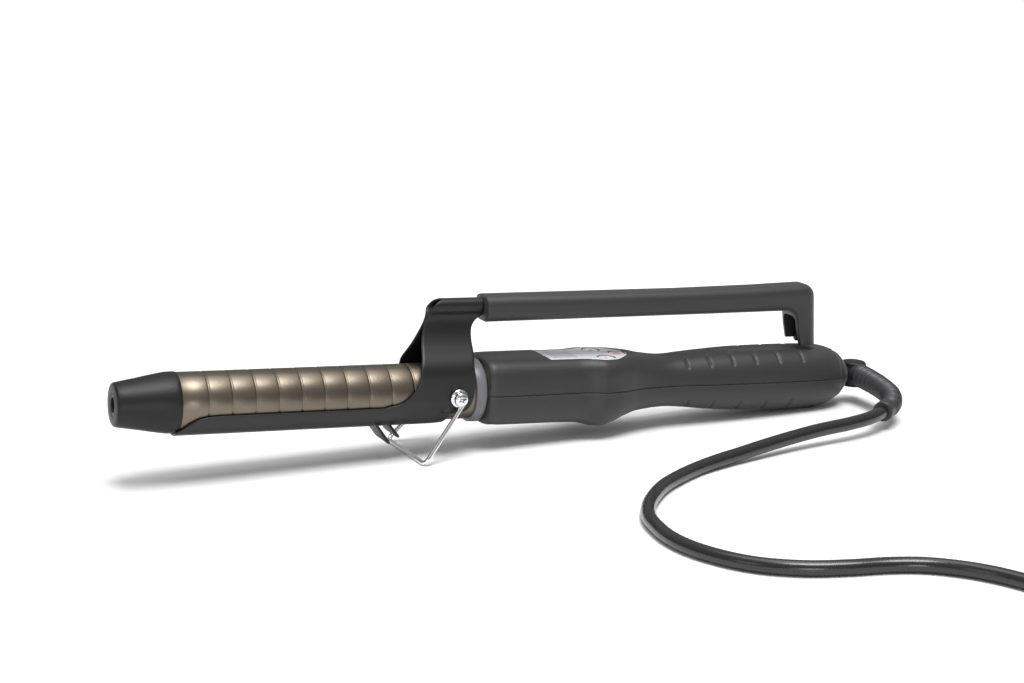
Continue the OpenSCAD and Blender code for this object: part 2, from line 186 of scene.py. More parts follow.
def raw_object(name, build, place):
    mesh = bpy.data.meshes.new(name)
    mesh.from_pydata([place @ Vector(p) for p in build.points], [], build.faces)
    bm = bmesh.new()
    bm.from_mesh(mesh)
    bmesh.ops.remove_doubles(bm, verts=bm.verts, dist=1e-7)
    bmesh.ops.recalc_face_normals(bm, faces=bm.faces)
    bm.to_mesh(mesh)
    bm.free()
    mesh.validate()
    obj = bpy.data.objects.new(name, mesh)
    bpy.context.scene.collection.objects.link(obj)
    return obj


def piece(name, build, body, slot, *nodes, place=ON_AXIS, angle=32, cuts=(), finish=None):
    """One finished piece: meshed, cut, shaded, painted and hung on its body."""
    obj = raw_object(name, build, place)
    for shape in cuts:
        knife = raw_object(name + "_cut", shape, place)
        change = obj.modifiers.new("cut", "BOOLEAN")
        change.operation, change.object, change.solver = "DIFFERENCE", knife, "EXACT"
        view = bpy.context.evaluated_depsgraph_get()
        result = bpy.data.meshes.new_from_object(obj.evaluated_get(view))
        obj.modifiers.clear()
        obj.data = result
        bpy.data.objects.remove(knife)
    obj.data.materials.clear()
    obj.data.materials.append(FINISH[finish or slot])
    smooth_shade(obj.data, angle)
    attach(obj, body)
    if nodes:
        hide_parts(*nodes)
    return obj


X, Y, Z = Vector((1, 0, 0)), Vector((0, 1, 0)), Vector((0, 0, 1))
AXES = {"x": (X, Y, Z), "y": (Y, Z, X), "z": (Z, X, Y)}


def turned(build, outline, at=(0, 0, 0), axis="x", sides=96, closed=True):
    """A body of revolution: outline of (distance along the axis, radius)."""
    along, across, up = AXES[axis]
    at = Vector(at)
    rows = [[at + along * a + (across * math.cos(t) + up * math.sin(t)) * r
             for t in (2 * math.pi * k / sides for k in range(sides))] for a, r in outline]
    build.stack(rows, closed=closed, ends=False)


def swept(build, path, radii, sides=24, ends=True, up=Z):
    """A round bar along a path, its radius given at each point."""
    path = [Vector(p) for p in path]
    rows = []
    side = None
    for i, point in enumerate(path):
        ahead = (path[min(i + 1, len(path) - 1)] - path[max(i - 1, 0)]).normalized()
        side = ahead.cross(up).normalized() if side is None else \
            (side - ahead * side.dot(ahead)).normalized()
        top = side.cross(ahead)
        rows.append([point + (side * math.cos(t) + top * math.sin(t)) * radii[i]
                     for t in (2 * math.pi * k / sides for k in range(sides))])
    build.stack(rows, ends=ends)


def rounded(points, radii, steps=6):
    """A route with its corners turned into arcs. Works on outlines and on wires."""
    points = [Vector(p) for p in points]
    out = []
    for i, point in enumerate(points):
        r = radii[i]
        a = (points[i - 1] - point).normalized()
        b = (points[(i + 1) % len(points)] - point).normalized()
        half = math.acos(max(-1, min(1, a.dot(b)))) / 2
        if r <= 0 or half > math.pi / 2 - 0.01:
            out += [point] * (1 if r <= 0 else steps + 1)
            continue
        reach = r / math.tan(half)
        middle = point + (a + b).normalized() * (r / math.sin(half))
        start, stop = point + a * reach - middle, point + b * reach - middle
        swing = math.pi - 2 * half
        for k in range(steps + 1):
            t = k / steps
            out.append(middle + (start * math.sin((1 - t) * swing) + stop * math.sin(t * swing))
                       / math.sin(swing))
    return out


def drawn_in(points, distances):
    """A corner outline with each edge moved inwards by its own distance."""
    points = [Vector(p) for p in points]
    count = len(points)
    area = sum(points[i].x * points[(i + 1) % count].y - points[(i + 1) % count].x * points[i].y
               for i in range(count))
    out = []
    for i in range(count):
        before, here, after = points[i - 1], points[i], points[(i + 1) % count]
        first, second = (here - before).normalized(), (after - here).normalized()
        turn = 1 if area > 0 else -1
        n1, n2 = Vector((-first.y, first.x)) * turn, Vector((-second.y, second.x)) * turn
        d1, d2 = distances[i - 1], distances[i]
        det = n1.x * n2.y - n1.y * n2.x
        if abs(det) < 1e-3:
            out.append(here + n1 * d1)
            continue
        out.append(here + Vector(((d1 * n2.y - d2 * n1.y) / det, (n1.x * d2 - n2.x * d1) / det)))
    return out


def smooth_path(points, per_span=6):
    """A Catmull-Rom curve through the points."""
    pts = [Vector(p) for p in points]
    ends = [pts[0] * 2 - pts[1]] + pts + [pts[-1] * 2 - pts[-2]]
    out = []
    for i in range(1, len(ends) - 2):
        p0, p1, p2, p3 = ends[i - 1:i + 3]
        for k in range(per_span):
            t = k / per_span
            out.append(0.5 * (2 * p1 + (p2 - p0) * t + (2 * p0 - 5 * p1 + 4 * p2 - p3) * t * t
                              + (3 * p1 - p0 - 3 * p2 + p3) * t ** 3))
    return out + [pts[-1]]


def length_of(points):
    return sum((b - a).length for a, b in zip(points, points[1:]))


def ease(x):
    x = max(0.0, min(1.0, x))
    return x * x * (3 - 2 * x)


def through(table, column, x):
    """A smooth value from a table of rows that start with x."""
    xs = [row[0] for row in table]
    ys = [row[column] for row in table]
    if x <= xs[0]:
        return ys[0]
    if x >= xs[-1]:
        return ys[-1]
    i = max(k for k in range(len(xs) - 1) if xs[k] <= x)

    def slope(k):
        if k <= 0 or k >= len(xs) - 1:
            return 0.0
        left = (ys[k] - ys[k - 1]) / (xs[k] - xs[k - 1])
        right = (ys[k + 1] - ys[k]) / (xs[k + 1] - xs[k])
        return 0.0 if left * right <= 0 else 2 * left * right / (left + right)
    span = xs[i + 1] - xs[i]
    t = (x - xs[i]) / span
    return ((2 * t ** 3 - 3 * t * t + 1) * ys[i] + (t ** 3 - 2 * t * t + t) * span * slope(i)
            + (3 * t * t - 2 * t ** 3) * ys[i + 1] + (t ** 3 - t * t) * span * slope(i + 1))


# ---------------------------------------------------------------- barrel and tip
BARREL_R, BARREL_FRONT, BARREL_REAR = 12.5, -120.6, 24.0


def add_barrel():
    outline = [(BARREL_FRONT, BARREL_R - 0.12), (BARREL_FRONT + 0.12, BARREL_R)]
    for k in range(10):
        g = -109.3 + 10 * k
        outline += [(g - 0.75, BARREL_R), (g - 0.55, BARREL_R - 0.04), (g - 0.35, BARREL_R - 0.26),
                    (g, BARREL_R - 0.3), (g + 0.35, BARREL_R - 0.26), (g + 0.55, BARREL_R - 0.04),
                    (g + 0.75, BARREL_R)]
    outline += [(BARREL_REAR, BARREL_R), (BARREL_REAR, BARREL_R - 1.2),
                (BARREL_FRONT, BARREL_R - 1.2)]
    tube = Build()
    turned(tube, outline, sides=160)
    piece("barrel", tube, "iron", "barrel_metal", "barrel_tube", angle=50)


def add_tip():
    outline = [(-112, 3.1), (-112, 11.2), (-120.55, 11.2), (-120.6, 12.55), (-120.9, 12.8),
               (-122.5, 12.82), (-125, 12.75), (-127.6, 12.35), (-131.5, 11.7), (-137.6, 10.6),
               (-143.6, 9.6), (-145.6, 9.25), (-146.3, 8.95), (-146.6, 8.45), (-146.6, 5.2),
               (-146.45, 5.05), (-146.45, 4.6), (-146.6, 4.45), (-146.6, 3.5), (-146.45, 3.15),
               (-146.2, 3.1), (-124.6, 3.1)]
    tip = Build()
    turned(tip, outline, sides=128)
    piece("tip", tip, "iron", "tip_plastic", "cool_tip", angle=40)


def add_collar():
    ring = Build()
    turned(ring, [(9.0, 12.55), (9.0, 13.3), (9.15, 13.6), (9.5, 13.8), (13.2, 14.0),
                  (13.5, 13.85), (13.6, 13.6), (13.6, 12.55)], sides=128)
    piece("collar", ring, "iron", "collar_plastic", "front_collar", angle=30)


# ---------------------------------------------------------------- clamp sheet
SHEET = 1.07
SHELL_R = 13.87
# Half of the sheet's cross-section above the barrel axis: distance across, height.
SHEET_HALF = [
    (13.87, 0), (13.87, 4), (13.8, 7.5), (13.45, 10.3), (12.6, 12.8), (11.3, 14.9), (9.8, 16.7),
    (8.3, 18.4), (6.8, 20.2), (5.4, 22), (4.1, 24), (3, 26), (2.2, 28), (1.65, 29.8), (1.4, 31.4),
    (1.5, 32.8), (2.0, 34.1), (2.9, 35.4), (3.5, 36.7), (3.6, 38), (3.15, 39.4), (2.15, 40.4),
    (1.1, 40.8), (0, 40.95),
]
# Where the sheet starts and ends along the iron at each height.
EDGE_SHELL = [(-13.87, -121.7), (-12, -121.7), (-10.4, -120.2), (-7.8, -117.6), (-5, -113),
              (-4.2, -108.5), (-4, -105)]
EDGE_FRONT = [(-4, -32.4), (-2.3, -26), (1, -21.5), (5, -18.5), (10, -17), (12, -16.8), (16, -15.6),
              (20, -14.6), (24, -13.7), (28, -12.5), (32, -11.2), (36, -9.8), (38, -8.4),
              (40, -6.4), (40.9, -4.5)]
EDGE_REAR = [(-13.87, -7.6), (-13, -7.3), (-12.2, -4), (-7.2, -2.2), (-6.6, 1.8), (-4.6, 5.2),
             (-1, 6.9), (4, 7.3), (13, 7.3), (18, 8.3), (24, 8.6), (28, 9.2), (30.6, 10.6),
             (32.6, 12.7), (33.6, 14.3), (40.9, 14.3)]
SHELL_TOP = math.asin(-4 / SHELL_R)


def sheet_loop():
    """The closed cross-section, from the bottom up the near side and down the far side."""
    angles = [-math.pi / 2 + (SHELL_TOP + math.pi / 2) * k / 72 for k in range(72)]
    angles += [SHELL_TOP * (1 - k / 14) for k in range(14)]
    half = [(SHELL_R * math.cos(a), SHELL_R * math.sin(a)) for a in angles]
    half[72] = (half[72][0], -4.0)
    half += [tuple(p) for p in smooth_path(SHEET_HALF, 4)]
    return [(-y, z) for y, z in half] + [(y, z) for y, z in half[-2:0:-1]]


def add_clamp():
    """The pressed sheet: a half shell under the barrel that runs up into the bracket and bead."""
    loop = sheet_loop()
    count = len(loop)
    low, high = 44, 24
    verts_out, verts_in, index = [], [], {}
    for i, (y, z) in enumerate(loop):
        y0, z0 = loop[i - 1]
        y1, z1 = loop[(i + 1) % count]
        run = math.hypot(y1 - y0, z1 - z0)
        normal = (-(z1 - z0) / run, (y1 - y0) / run)
        below = z < -3.999
        rear = through(EDGE_REAR, 1, z)
        front = -32.4 if below else through(EDGE_FRONT, 1, z)
        stops = []
        if below:
            start = through(EDGE_SHELL, 1, z)
            stops += [(c, start + (front - start) * (c / low)) for c in range(low)]
        stops += [(low + c, front + (rear - front) * c / high) for c in range(high + 1)]
        crease = -2.3 + (z + 1) * 0.8
        hold = ease((z + 9.2) / 2.6) if z < 0 else 0
        for c, s in stops:
            out = (13.75 - abs(y)) * ease((s - crease) / 1.8) * hold
            wide = y + math.copysign(out, y) if z < 0 else y
            index[i, c] = len(verts_out)
            verts_out.append((s, wide, z))
            verts_in.append((s, wide - normal[0] * SHEET, z - normal[1] * SHEET))
    outer = []
    for i in range(count):
        n = (i + 1) % count
        for c in range(low + high):
            corners = [(i, c), (n, c), (n, c + 1), (i, c + 1)]
            if all(k in index for k in corners):
                outer.append(tuple(index[k] for k in corners))
    total = len(verts_out)
    sheet = Build()
    sheet.points = verts_out + verts_in
    sheet.faces = outer + [tuple(total + k for k in reversed(f)) for f in outer]
    # A rounded rim joins the two skins all along the cut edge.
    uses = {}
    for face in outer:
        for a, b in zip(face, face[1:] + face[:1]):
            uses.setdefault(frozenset((a, b)), []).append((a, b, face))
    rim_edges = [u[0] for u in uses.values() if len(u) == 1]
    outward = {}
    for a, b, face in rim_edges:
        middle = sum((Vector(verts_out[k]) for k in face), Vector()) / 4
        pa, pb = Vector(verts_out[a]), Vector(verts_out[b])
        edge = (pb - pa).normalized()
        away = (pa + pb) / 2 - middle
        away -= edge * away.dot(edge)
        if away.length > 1e-6:
            for k in (a, b):
                outward[k] = outward.get(k, Vector()) + away.normalized()
    rim = {}
    for k, away in outward.items():
        skin, inside = Vector(verts_out[k]), Vector(verts_in[k])
        away = away.normalized()
        rim[k] = [k] + list(sheet.row([
            skin.lerp(inside, t) + away * d
            for t, d in ((0.12, 0.22), (0.32, 0.33), (0.68, 0.33), (0.88, 0.22))])) + [total + k]
    for a, b, face in rim_edges:
        for k in range(5):
            sheet.faces.append((rim[a][k], rim[a][k + 1], rim[b][k + 1], rim[b][k]))
    piece("clamp_sheet", sheet, "clamp", "clamp_paint", "clamp_plate", angle=38)


def add_clip():
    """The two lips under the shell, pressed from thin sheet."""
    lips = Build()
    for top, bottom, thick in (((-34, -12.6), (-28.0, -20.6), 1.1),
                               ((-28.2, -12.6), (-23.9, -18.0), 1.1)):
        run = Vector((bottom[0] - top[0], bottom[1] - top[1])).normalized()
        side = Vector((-run.y, run.x)) * thick / 2
        rows = []
        for k in range(25):
            y = -8 + 16 * k / 24
            trim = 0.5 * (1 - math.sqrt(max(0, 1 - (max(0, abs(y) - 7.5) / 0.5) ** 2)))
            deep = -math.sqrt(SHELL_R ** 2 - y * y) + 0.5
            head = (top[0] + run.x * (deep - top[1]) / run.y, deep)
            foot = Vector(bottom) - run * trim
            ring = [(head[0] + side.x, head[1] + side.y)]
            for t in (0.35, 0.7, 0.93):
                ring.append(tuple(Vector(head).lerp(foot, t) + side))
            for a in (90, 60, 30, 0, -30, -60, -90):
                turn = math.radians(a)
                ring.append(tuple(foot - run * 0.55 + side * math.sin(turn)
                                  + run * (thick / 2) * math.cos(turn)))
            for t in (0.93, 0.7, 0.35):
                ring.append(tuple(Vector(head).lerp(foot, t) - side))
            ring.append((head[0] - side.x, head[1] - side.y))
            rows.append([(s, y, z) for s, z in ring])
        lips.stack(rows)
    piece("clip_lips", lips, "clamp", "tip_plastic", "stand_clip", angle=40)


# ---------------------------------------------------------------- stand and screws
EYE_Y, HEAD_Y = 15.17, 16.77
FOOT = (-17.25, 22.15, -26.42)


def add_stand():
    """One bent wire: eye, leg, foot, crossbar, foot, leg, eye."""
    leg = Vector((FOOT[0], 0, FOOT[2])).normalized()
    first = math.atan2(leg.x, -leg.z) - math.pi / 2

    def eye(side):
        turns = [first + math.radians(a) for a in range(0, 311, 10)]
        return [Vector((-3.1 * math.sin(t), side * EYE_Y, 3.1 * math.cos(t))) for t in turns]
    near = eye(-1)[::-1]
    far = eye(1)
    corners = [near[-1], (FOOT[0], -FOOT[1], FOOT[2]), (FOOT[0], FOOT[1], FOOT[2]), far[0]]
    bent = rounded(corners, [0, 2.4, 2.4, 0], 8)
    legs = near[:-1] + bent[:1]
    for a, b in zip(bent, bent[1:]):
        steps = max(1, int((b - a).length / 3))
        legs += [a.lerp(b, (k + 1) / steps) for k in range(steps)]
    path = legs + far[1:]
    wire = Build()
    swept(wire, path, [1.0] * len(path), sides=20, up=Y)
    piece("stand_bail", wire, "stand", "chrome", "stand_wire", angle=60)


def add_pivot_screws():
    for side, node in ((-1, "pivot_screw_near"), (1, "pivot_screw_far")):
        screw, slots = Build(), []
        dome = [(4, 0), (4, 2), (HEAD_Y, 2), (HEAD_Y, 3.05), (HEAD_Y + 0.12, 3.15),
                (HEAD_Y + 0.75, 3.15), (HEAD_Y + 1.25, 3.0), (HEAD_Y + 1.7, 2.75),
                (HEAD_Y + 2.02, 2.1), (HEAD_Y + 2.17, 1.2), (HEAD_Y + 2.2, 0)]
        turned(screw, [(side * a, r) for a, r in dome], axis="y", sides=64, closed=False)
        for turn in (20, 110):
            t = math.radians(turn)
            ahead = Vector((math.cos(t), 0, math.sin(t)))
            across = Vector((-math.sin(t), 0, math.cos(t)))
            rows = [[ahead * a * reach + across * b * wide + Y * side * depth
                     for a, b in ((-1, -1), (1, -1), (1, 1), (-1, 1))]
                    for depth, reach, wide in ((HEAD_Y + 0.7, 0.9, 0.3), (HEAD_Y + 2.6, 2.0, 0.46))]
            slots.append(Build())
            slots[-1].stack(rows)
        piece("screw_" + node[12:], screw, "iron", "chrome", node, angle=35, cuts=slots)
    discs = Build()
    for side in (-1, 1):
        turned(discs, [(side * (HEAD_Y - 0.3), 2.05), (side * (HEAD_Y - 0.3), 3.3),
                       (side * (HEAD_Y - 0.2), 3.35), (side * (HEAD_Y - 0.06), 3.35),
                       (side * (HEAD_Y - 0.02), 3.25), (side * (HEAD_Y - 0.02), 2.05)],
               axis="y", sides=64)
    piece("washers", discs, "iron", "chrome", "pivot_washers", angle=35)


# ---------------------------------------------------------------- lever grip
# The grip from the side: x, z, corner radius, share of the side rounding on the edge after it.
GRIP_SIDE = [
    (14.6, 30.6, 1.0, 0.12), (14.6, 42.1, 1.2, 1), (110, 42.6, 0, 1), (150, 43.4, 0, 1),
    (180.7, 44.5, 6.0, 1), (182.1, 30, 0, 1), (183.6, 15.4, 0.9, 0.2), (174.0, 15.4, 0.7, 0.15),
    (171.9, 24, 0, 0.15), (170.6, 31.8, 4.4, 1), (130, 31.4, 0, 1), (60, 30.9, 0, 1),
]
GRIP_HALF, GRIP_ROUND, HOLLOW_CORNER = 7.2, 4.6, 9


def grip_ring(y):
    over = max(0.0, abs(y) - (GRIP_HALF - GRIP_ROUND)) / GRIP_ROUND
    inset = GRIP_ROUND * (1 - math.sqrt(max(0.0, 1 - over * over)))
    base = [(p[0], p[1]) for p in GRIP_SIDE]
    moved = drawn_in(base, [p[3] * inset for p in GRIP_SIDE])
    radii = []
    for i, p in enumerate(GRIP_SIDE):
        # Every corner gets sharper as the edges draw in, except the hollow one under the grip.
        drawn = p[2] + inset if i == HOLLOW_CORNER else max(0.25, p[2] - inset)
        radii.append(drawn if p[2] else 0)
    return [(q.x, y, q.y) for q in rounded(moved, radii, 7)]


def add_grip():
    grip = Build()
    ys = [GRIP_HALF - GRIP_ROUND + GRIP_ROUND * math.sin(math.radians(a))
          for a in (0, 12, 24, 36, 48, 60, 70, 80, 90)]
    ys = [-y for y in reversed(ys)] + ys
    grip.stack([grip_ring(y) for y in ys])
    channel, saddle = Build(), Build()
    front = rounded([(-5.2, 12), (5.2, 12), (5.2, 29.4), (-5.2, 29.4)], [0, 0, 3, 3], 6)
    channel.stack([[(s, p.x, p.y) for p in front] for s in (165, 180.2)])
    # The foot of the leg is hollowed at its front to pass over the round handle.
    arch = [(-5.6, 12), (-5.4, 14.2), (-4.6, 15.6), (-3.4, 16.5), (-1.8, 17.1), (0, 17.4), (3, 17.5),
            (8, 17.5), (8, 12)]
    saddle.stack([[(s, y, z) for y, z in arch] for s in (160, 179)])
    piece("grip", grip, "clamp", "soft_plastic", "lever_grip", angle=30, cuts=[channel, saddle])


# ---------------------------------------------------------------- handle shells
# The handle's sections: x, half width, top, bottom, squareness.
STATIONS = [
    (17.0, 15.6, 15.4, 14.5, 3.4), (22, 15.7, 15.5, 14.8, 3.4), (45, 15.8, 15.5, 15.0, 3.4),
    (58, 15.8, 15.5, 15.3, 3.5), (62, 16.2, 15.5, 15.9, 3.8), (66, 17.4, 15.5, 16.7, 4.1),
    (70, 18.3, 15.5, 16.8, 4.2), (75, 17.9, 15.5, 15.4, 4.1), (82, 16.2, 15.2, 13.0, 3.8),
    (88, 14.2, 14.6, 11.8, 3.3), (95, 13.0, 13.4, 11.3, 2.8),
    (105, 12.3, 12.5, 11.0, 2.4), (116, 13.0, 13.3, 11.8, 2.3), (127, 14.0, 14.1, 13.1, 2.3),
    (147, 15.0, 15.0, 14.4, 2.3), (165, 15.2, 15.2, 14.8, 2.3), (180, 14.9, 15.0, 14.6, 2.3),
    (188, 14.1, 14.4, 13.8, 2.3), (194, 12.4, 12.9, 12.2, 2.2), (197.5, 10.7, 11.1, 10.5, 2.1),
]
NOSE = [(14.75, 12.75, 12.75, 12.75, 2), (14.55, 13.4, 13.4, 12.95, 2.4), (14.45, 14.0, 13.9, 13.0, 3),
        (14.8, 14.8, 14.7, 13.7, 3.2), (15.7, 15.35, 15.2, 14.25, 3.3)]
NOSE_INSIDE = [(16.5, 12.75, 12.75, 12.75, 2), (16.5, 12.95, 12.9, 12.76, 2.3),
               (16.5, 13.15, 13.1, 12.78, 2.7), (16.5, 13.3, 13.2, 12.8, 3),
               (16.5, 13.45, 13.3, 12.82, 3.2)]
TAIL = [(199.2, 9.4, 9.7, 9.3, 2), (200.7, 8.0, 8.2, 8.0, 2), (201.9, 6.6, 6.6, 6.6, 2),
        (202.5, 5.85, 5.85, 5.85, 2), (202.6, 5.5, 5.5, 5.5, 2), (202.4, 5.3, 5.3, 5.3, 2)]
TAIL_INSIDE = [(198.3, 8.0, 8.2, 8.0, 2), (199.2, 7.2, 7.3, 7.2, 2), (199.9, 6.4, 6.4, 6.4, 2),
               (200.3, 5.9, 5.9, 5.9, 2), (200.6, 5.5, 5.5, 5.5, 2), (200.6, 5.3, 5.3, 5.3, 2)]
PANEL_FROM, PANEL_FLAT, PANEL_TO, PANEL_Z = 43.0, 45.2, 87.0, 14.2
# Half width of the panel along the handle, as rows of x, half width.
PANEL_HALF = [(43, 7.6), (46, 9.2), (54, 9.5), (62, 10), (66, 11.3), (70, 13.2), (73, 13.9),
              (76, 13.1), (81, 8.9), (85, 4.5), (87, 0.4)]
GRIP_MARKS_UP = (113.7, 125, 136.5, 148.3, 160.6, 173)
GRIP_MARKS_DOWN = (115, 127.5, 141, 154.4, 168)
SEAM_GAP = 0.13


def seam_z(s):
    """The line between the shells climbs slightly towards the tail."""
    return -0.1 + 0.9 * ease((s - 15) / 180)


def cut_z(s):
    """Height the handle is cut down to: not at all ahead of the panel, then sloping, then flat."""
    if s < PANEL_FROM:
        return 99.0
    if s < PANEL_FLAT:
        return 15.5 - (15.5 - PANEL_Z) * (s - PANEL_FROM) / (PANEL_FLAT - PANEL_FROM)
    return PANEL_Z


def section(s):
    """Half width, top, bottom and squareness of the handle at s."""
    return tuple(through(STATIONS, c, s) for c in range(1, 5))


def resampled(points, marks):
    """Points at set distances from each end and the given count evenly between them."""
    points = np.asarray(points)
    run = np.concatenate([[0], np.cumsum(np.hypot(*np.diff(points, axis=0).T))])
    count, lead_in, lead_out = marks
    inner = np.linspace(lead_in[-1] if lead_in else 0, run[-1] - (lead_out[0] if lead_out else 0),
                        count)
    at = list(lead_in[:-1]) + list(inner) + [run[-1] - d for d in lead_out[1:]]
    return np.stack([np.interp(at, run, points[:, c]) for c in (0, 1)], axis=1)


def half_ring(wide, top, bottom, n, start_z, cut=99.0, skin=True, rim=0.16, sunk=False):
    """One shell's part of a section, from its seam on one side over to the other.

    cut is the height it is cut down to, and rim the flat left beside the sunk bed of the panel.
    """
    high = top if start_z >= 0 else bottom
    first = math.copysign(math.asin(min(1, abs(start_z) / high) ** (n / 2)), start_z)
    corner_z = min(cut, 0.985 * top)
    corner = math.asin((corner_z / top) ** (n / 2))

    def arc(a, b):
        t = np.linspace(a, b, 160)
        c, s = np.cos(t), np.sin(t)
        up = np.where(s > 0, top, bottom)
        y = wide * np.sign(c) * np.abs(c) ** (2 / n)
        z = np.minimum(up * np.sign(s) * np.abs(s) ** (2 / n), cut)
        return np.stack([y, z], axis=1)
    side = resampled(arc(first, corner), (32, [0, 0.3], [0]))
    roof = resampled(arc(corner, math.pi - corner),
                     (40, [0, rim, rim + 0.08], [rim + 0.08, rim, 0]))
    if skin:
        side[0, 0] -= 0.25
    if sunk:
        roof[2:-2, 1] -= 0.35
    back = side[::-1] * (-1, 1)
    return np.concatenate([side[:-1], roof, back[1:]])


def marked(points, s, marks, low, high):
    """Presses the short grip marks into the ring of points at s."""
    depth = max(0.55 * math.exp(-((s - m) / 0.62) ** 2) for m in marks)
    if depth < 0.01:
        return points
    out = points.copy()
    for i, (y, z) in enumerate(points):
        angle = math.degrees(math.atan2(z, abs(y)))
        press = depth * ease((angle - low) / 5) * ease((high - angle) / 5)
        out[i] *= 1 - press / math.hypot(y, z)
    return out


def panel_width(s):
    """Half width of the flat that the cut for the panel leaves on the handle."""
    wide, top, bottom, n = section(s)
    level = min(cut_z(s), top)
    return wide * max(0.0, 1 - (level / top) ** n) ** (1 / n)


def panel_rim(s):
    """Width of the flat left on each side of the panel."""
    if s < PANEL_FROM:
        return 0.16
    beside = panel_width(s) - through(PANEL_HALF, 1, s)
    return max(0.16, beside * (1 - max(0, s - PANEL_TO) / 2))


def handle_rows(upper):
    """Pairs of outer and inner rings, from the nose of the handle to its tail."""
    steps = list(np.arange(17, 42.9, 1.2)) + [42.95, 43.0] + list(np.arange(43.4, 46, 0.4)) \
        + list(np.arange(46, 108, 0.8)) + list(np.arange(108, 178, 0.42)) \
        + list(np.arange(178, 197.6, 0.65))
    outer = list(NOSE) + [(s, *section(s)) for s in steps] + list(TAIL)
    inner = list(NOSE_INSIDE) + [(s, *(v - 2 for v in section(s)[:3]), section(s)[3])
                                 for s in steps] + list(TAIL_INSIDE)
    rows = []
    for out, ins in zip(outer, inner):
        ring_pair = []
        for (s, wide, top, bottom, n), skin in ((out, True), (ins, False)):
            s0 = out[0]
            if upper:
                ring = half_ring(wide, top, bottom, n, seam_z(s0) + SEAM_GAP,
                                 cut_z(s) - (0 if skin else 2), skin, panel_rim(s),
                                 skin and PANEL_FROM < s < PANEL_TO)
                if skin:
                    ring = marked(ring, s, GRIP_MARKS_UP, 34, 70)
            else:
                ring = half_ring(wide, bottom, top, n, SEAM_GAP - seam_z(s0), 99, skin)
                if skin:
                    ring = marked(ring, s, GRIP_MARKS_DOWN, 26, 60)
                ring = ring * (1, -1)
            ring_pair.append([(s, y, z) for y, z in ring])
        rows.append(ring_pair)
    return rows


def shell(upper):
    """The upper or lower handle shell, closed along its rim and at both ends."""
    rows = handle_rows(upper)
    build = Build()
    loops = [build.row(out + ins[::-1]) for out, ins in rows]
    for first, second in zip(loops, loops[1:]):
        build.join(first, second)
    size = len(loops[0])
    for loop in (loops[0], loops[-1]):
        for k in range(size // 2 - 1):
            build.faces.append((loop[k], loop[k + 1], loop[size - 2 - k], loop[size - 1 - k]))
    return build


BUTTONS = {"minus": (73, -8), "plus": (73, 8), "power": (82.2, 0)}
WINDOW = (48, 60, 6.5)


def window_outline(grow):
    a, b, w = WINDOW
    corners = [(a - grow, -w - grow), (b + grow, -w - grow), (b + grow, w + grow), (a - grow, w + grow)]
    return rounded(corners, [0.8 + grow] * 4, 5)


def panel_cutters(radius, grow, low, high):
    """Openings for the three buttons and the display window."""
    cut = Build()
    for x, y in BUTTONS.values():
        turned(cut, [(low, 0), (low, radius), (high, radius), (high, 0)], (x, y, 0), "z", 64, False)
    cut.stack([[(p.x, p.y, z) for p in window_outline(grow)] for z in (low, high)])
    return cut


def add_handle():
    piece("handle_top", shell(True), "iron", "soft_plastic", "handle_upper", angle=28,
          cuts=[panel_cutters(4.4, 0.05, 9, 17)])
    wells = Build()
    for x, y in ((98, 5.5), (98, -5.5), (182, 6), (182, -6)):
        turned(wells, [(-25, 0), (-25, 2.4), (-8, 2.4), (-8, 0)], (x, y, 0), "z", 40, False)
    piece("handle_base", shell(False), "iron", "soft_plastic", "handle_lower", angle=28, cuts=[wells])


def add_panel():
    rows_at = [43.25, 43.6, 44.2, 44.8, 45.15, 45.35, 45.8] + list(np.arange(46.5, 84, 0.75)) \
        + [84 + (PANEL_TO - 0.2 - 84) * math.sin(math.pi / 2 * k / 16) for k in range(17)]
    plate = Build()
    rows = []
    for s in rows_at:
        wide = max(0.25, min(panel_width(s) - 0.28, through(PANEL_HALF, 1, s) - 0.12))
        high = min(cut_z(s), section(s)[1]) + 0.06
        edge = min(0.14, wide * 0.4)
        ys = [-wide, -wide + edge] + list(np.linspace(-wide + 2 * edge, wide - 2 * edge, 22)) \
            + [wide - edge, wide]
        drop = [0.14, 0.03] + [0] * 22 + [0.03, 0.14]
        if s == rows_at[0] or s == rows_at[-1]:
            drop = [0.14] * len(ys)
        rows.append([(s, y, high - d) for y, d in zip(ys, drop)]
                    + [(s, y, high - 0.36) for y in reversed(ys)])
    plate.stack(rows)
    piece("panel", plate, "iron", "bezel_plastic", "panel_bezel", angle=25,
          cuts=[panel_cutters(4.3, 0, 12, 17)])
    glass = Build()
    glass.stack([[(p.x, p.y, z) for p in window_outline(grow)]
                 for grow, z in ((-0.15, 13.1), (-0.15, 13.9), (-0.3, 14.05))])
    piece("window", glass, "iron", "lens", "lcd_window", angle=30)


